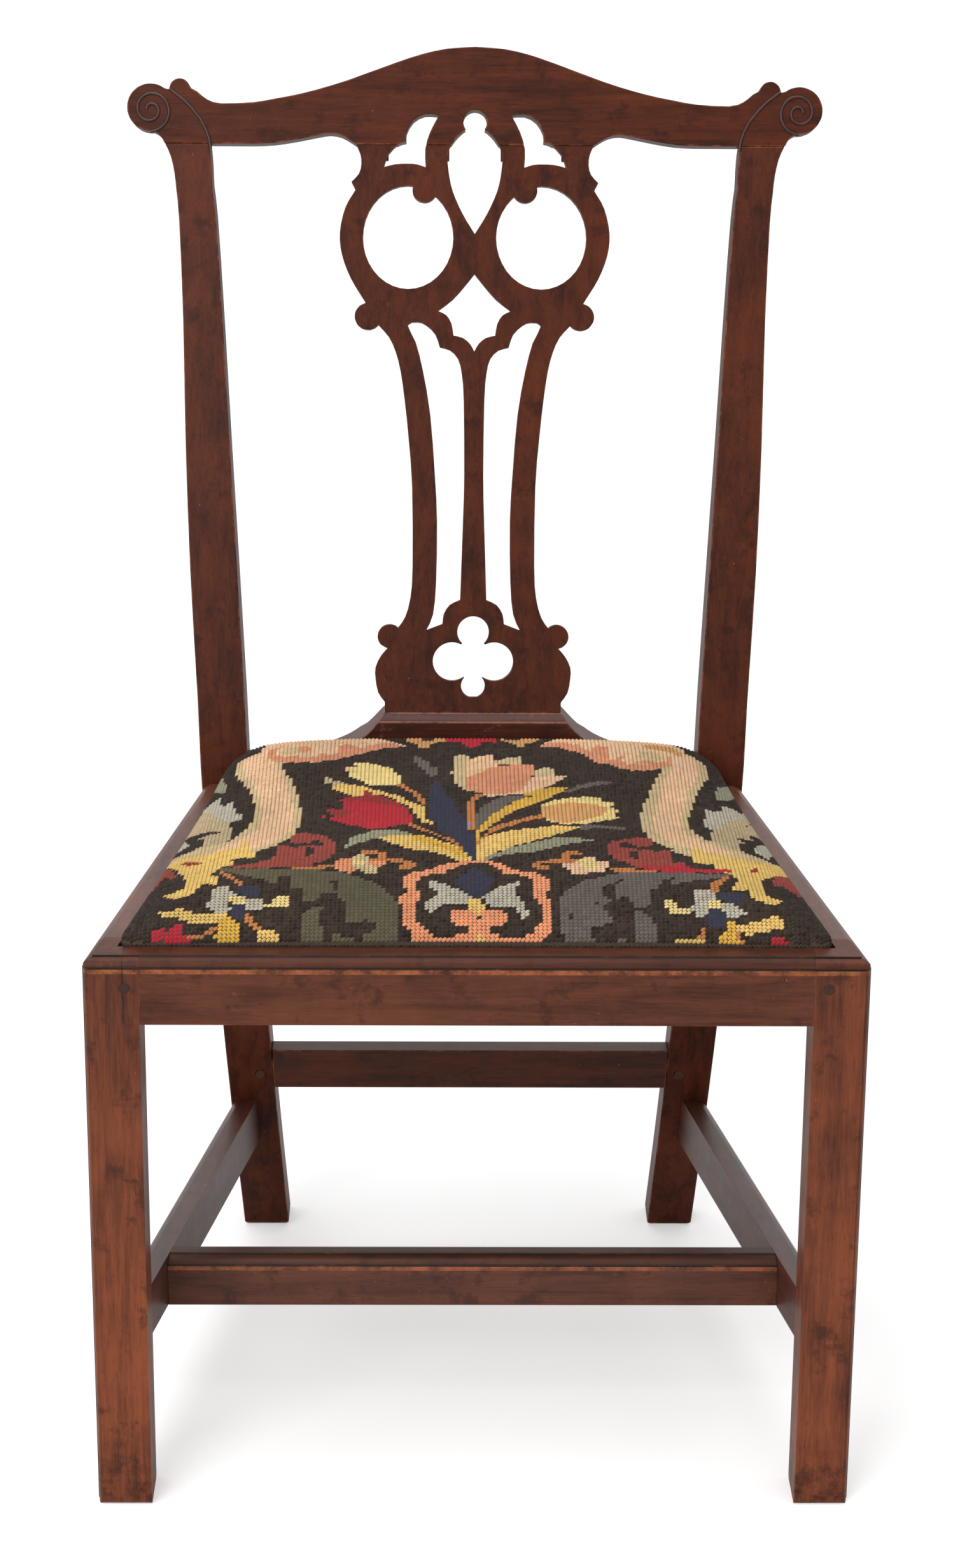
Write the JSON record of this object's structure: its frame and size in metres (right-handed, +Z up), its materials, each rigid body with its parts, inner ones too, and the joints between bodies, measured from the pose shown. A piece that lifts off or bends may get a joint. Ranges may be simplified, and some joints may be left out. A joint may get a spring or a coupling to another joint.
{
  "type": "side chair",
  "caption": "Wooden side chair with a pierced splat, an eared crest rail, square legs tied by stretchers, and a lift-out seat covered in floral needlework.",
  "frame": {"origin": "on the floor, in the middle of the chair's width and depth", "axes": "+Z up, the front of the chair faces -Y, +X is the right-hand side of a viewer who faces its front"},
  "size_m": [0.5408, 0.5216, 0.9772],
  "materials": {
    "mahogany": "old dark polish, semi-gloss, rubbed and scratched",
    "worn_mahogany": "dark polish worn to red-brown on the front face",
    "peg_wood": "dark end grain, flush with the wood round it",
    "glue_block_pine": "unfinished, darkened with age",
    "seat_frame_pine": "unfinished, sawn and planed",
    "jute": "coarse plain weave",
    "tack_iron": "dull, darkened iron",
    "linen": "open plain weave",
    "horsehair": "curled hair under the cover",
    "wool_needlework": "matte wool stitches, a dark brown ground with coloured flowers and scrolls"
  },
  "bodies": {
    "chair_frame": {"front_leg_left": "mahogany", "front_leg_right": "mahogany", "rear_post_left": "mahogany", "rear_post_right": "mahogany", "front_seat_rail": "mahogany", "side_seat_rail_left": "mahogany", "side_seat_rail_right": "mahogany", "rear_seat_rail": "mahogany", "splat": "mahogany", "crest_rail": "mahogany", "side_stretcher_left": "mahogany", "side_stretcher_right": "mahogany", "medial_stretcher": "mahogany", "rear_stretcher": "mahogany", "shoe": "worn_mahogany", "front_rail_pegs": "peg_wood", "side_rail_pegs": "peg_wood", "rear_stretcher_pegs": "peg_wood", "front_block_left": "glue_block_pine", "front_block_right": "glue_block_pine", "rear_block_left": "glue_block_pine", "rear_block_right": "glue_block_pine"},
    "slip_seat": {"seat_frame_front": "seat_frame_pine", "seat_frame_back": "seat_frame_pine", "seat_frame_left": "seat_frame_pine", "seat_frame_right": "seat_frame_pine", "crosswise_webbing": "jute", "lengthwise_webbing": "jute", "webbing_tacks": "tack_iron", "base_cloth": "linen", "stuffing": "horsehair", "needlework_cover": "wool_needlework", "cover_tacks": "tack_iron"}
  },
  "joints": [
    {"name": "slip_seat_lift", "type": "slide", "parent": "chair_frame", "child": "slip_seat", "axis": [0, 0, 1], "range_m": [0, 0.12]}
  ]
}
